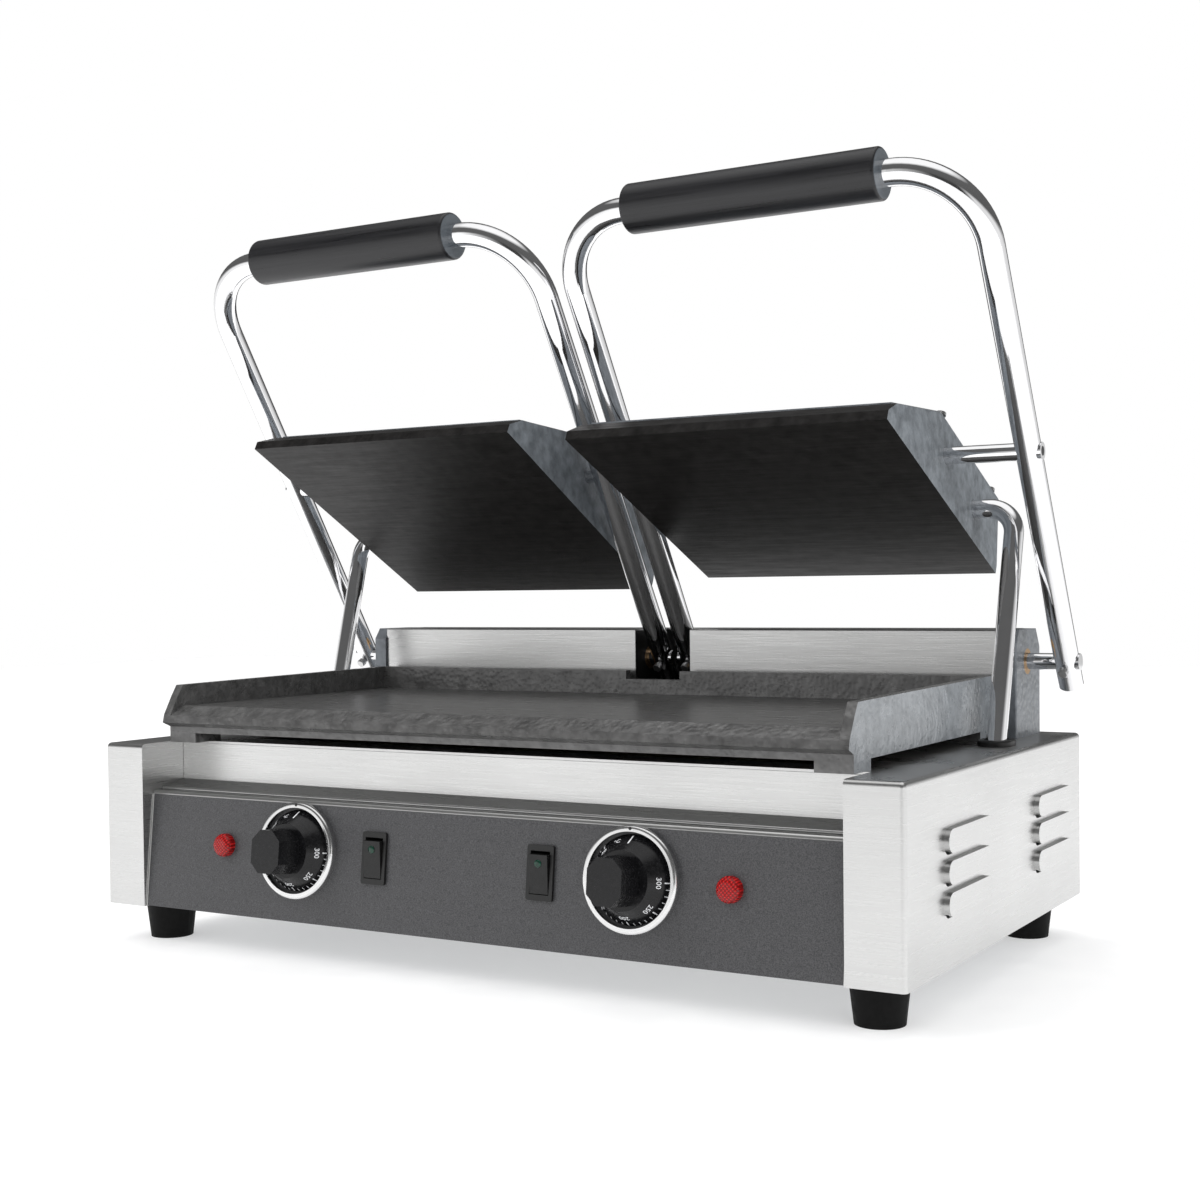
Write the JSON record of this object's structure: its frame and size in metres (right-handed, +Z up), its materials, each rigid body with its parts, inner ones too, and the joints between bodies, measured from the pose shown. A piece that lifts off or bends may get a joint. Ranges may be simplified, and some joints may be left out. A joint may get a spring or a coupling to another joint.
{
  "type": "contact grill",
  "caption": "Countertop double contact grill, shown open: one wide lower plate, two hinged upper plates with chrome lifting handles, dials, rocker switches and lamps",
  "frame": {"origin": "on the counter, at the middle of the overall width and depth", "axes": "+X to the right, +Y to the back, +Z up"},
  "size_m": [0.5936, 0.3608, 0.4852],
  "materials": {
    "stainless": "satin brushed",
    "galvanised": "dull zinc",
    "panel_dark": "fine speckled matt",
    "rubber": "matt",
    "cast_plate": "pebbled enamel",
    "cast_grey": "hammered",
    "bracket_black": "matt",
    "wool": "fibrous",
    "bronze": "sintered",
    "ceramic": "unglazed",
    "black_plastic": "matt",
    "element_steel": "heat tinted",
    "spring_steel": "oiled",
    "chrome": "polished",
    "grip_black": "semi gloss",
    "screw_steel": "zinc plated",
    "satin_bezel": "satin",
    "knob_black": "semi gloss",
    "lamp_red": "faceted",
    "rocker_black": "gloss"
  },
  "bodies": {
    "root": {"base_plate": "galvanised", "body_shell": "stainless", "cable_gland": "black_plastic", "centre_hinge_bracket": "bracket_black", "control_panel": "panel_dark", "front_ledge": "stainless", "heat_tray": "galvanised", "hinge_rear_cover": "stainless", "left_conduit_collar": "black_plastic", "left_hinge_bracket": "cast_grey", "left_hinge_cover": "stainless", "left_knob_bezel": "satin_bezel", "left_lamp_holder": "black_plastic", "left_lamp_lens": "lamp_red", "left_lift_spring": "spring_steel", "left_lower_element": "element_steel", "left_switch_frame": "black_plastic", "left_thermostat": "ceramic", "lower_insulation": "wool", "lower_plate": "cast_plate", "rear_cover": "stainless", "right_conduit_collar": "black_plastic", "right_hinge_bracket": "cast_grey", "right_hinge_cover": "stainless", "right_knob_bezel": "satin_bezel", "right_lamp_holder": "black_plastic", "right_lamp_lens": "lamp_red", "right_lift_spring": "spring_steel", "right_lower_element": "element_steel", "right_switch_frame": "black_plastic", "right_thermostat": "ceramic", "rubber_feet": "rubber", "shaft_bushes": "bronze", "terminal_block": "ceramic"},
    "left_handle": {"left_handle_frame": "chrome", "left_grip": "grip_black", "left_pivot_shaft": "chrome", "left_plate_pins": "chrome"},
    "left_plate": {"left_upper_plate": "cast_plate", "left_upper_cover": "cast_grey", "left_upper_cover_screws": "screw_steel", "left_upper_element": "element_steel", "left_upper_insulation": "wool"},
    "left_conduit_tube": {"left_conduit": "chrome"},
    "left_dial": {"left_knob": "knob_black", "left_thermostat_shaft": "screw_steel"},
    "left_switch": {"left_rocker": "rocker_black"},
    "right_handle": {"right_handle_frame": "chrome", "right_grip": "grip_black", "right_pivot_shaft": "chrome", "right_plate_pins": "chrome"},
    "right_plate": {"right_upper_plate": "cast_plate", "right_upper_cover": "cast_grey", "right_upper_cover_screws": "screw_steel", "right_upper_element": "element_steel", "right_upper_insulation": "wool"},
    "right_conduit_tube": {"right_conduit": "chrome"},
    "right_dial": {"right_knob": "knob_black", "right_thermostat_shaft": "screw_steel"},
    "right_switch": {"right_rocker": "rocker_black"}
  },
  "joints": [
    {"name": "left_handle_hinge", "type": "hinge", "parent": "root", "child": "left_handle", "pos_m": [-0.14975, 0.13442, 0.183], "axis": [1, 0, 0], "range_deg": [0, 55.08]},
    {"name": "left_plate_swivel", "type": "hinge", "parent": "left_handle", "child": "left_plate", "pos_m": [-0.13, 0.05068, 0.31343], "axis": [-1, 0, 0], "range_deg": [0, 26.68]},
    {"name": "left_conduit_swivel", "type": "hinge", "parent": "left_plate", "child": "left_conduit_tube", "pos_m": [-0.264, 0.09966, 0.27786], "axis": [1, 0, 0], "range_deg": [0, 10.63]},
    {"name": "left_dial_turn", "type": "hinge", "parent": "root", "child": "left_dial", "pos_m": [-0.1214, -0.16311, 0.07204], "axis": [0, 0.9943, -0.1063], "range_deg": [0, 270]},
    {"name": "left_switch_rock", "type": "hinge", "parent": "root", "child": "left_switch", "pos_m": [-0.0606, -0.14428, 0.06943], "axis": [-1, 0, 0], "range_deg": [0, 14]},
    {"name": "right_handle_hinge", "type": "hinge", "parent": "root", "child": "right_handle", "pos_m": [0.14975, 0.13442, 0.183], "axis": [1, 0, 0], "range_deg": [0, 55.68]},
    {"name": "right_plate_swivel", "type": "hinge", "parent": "right_handle", "child": "right_plate", "pos_m": [0.13, 0.05205, 0.3143], "axis": [-1, 0, 0], "range_deg": [0, 31.78]},
    {"name": "right_conduit_swivel", "type": "hinge", "parent": "right_plate", "child": "right_conduit_tube", "pos_m": [0.264, 0.10367, 0.28268], "axis": [1, 0, 0], "range_deg": [0, 16.03]},
    {"name": "right_dial_turn", "type": "hinge", "parent": "root", "child": "right_dial", "pos_m": [0.1214, -0.16311, 0.07204], "axis": [0, 0.9943, -0.1063], "range_deg": [0, 270]},
    {"name": "right_switch_rock", "type": "hinge", "parent": "root", "child": "right_switch", "pos_m": [0.0606, -0.14428, 0.06943], "axis": [-1, 0, 0], "range_deg": [0, 14]}
  ],
  "couplings": [
    {"joint": "left_plate_swivel", "follows": "left_handle_hinge", "ratio": 0.48439},
    {"joint": "left_conduit_swivel", "follows": "left_handle_hinge", "ratio": 0.19305},
    {"joint": "right_plate_swivel", "follows": "right_handle_hinge", "ratio": 0.57076},
    {"joint": "right_conduit_swivel", "follows": "right_handle_hinge", "ratio": 0.28795}
  ]
}
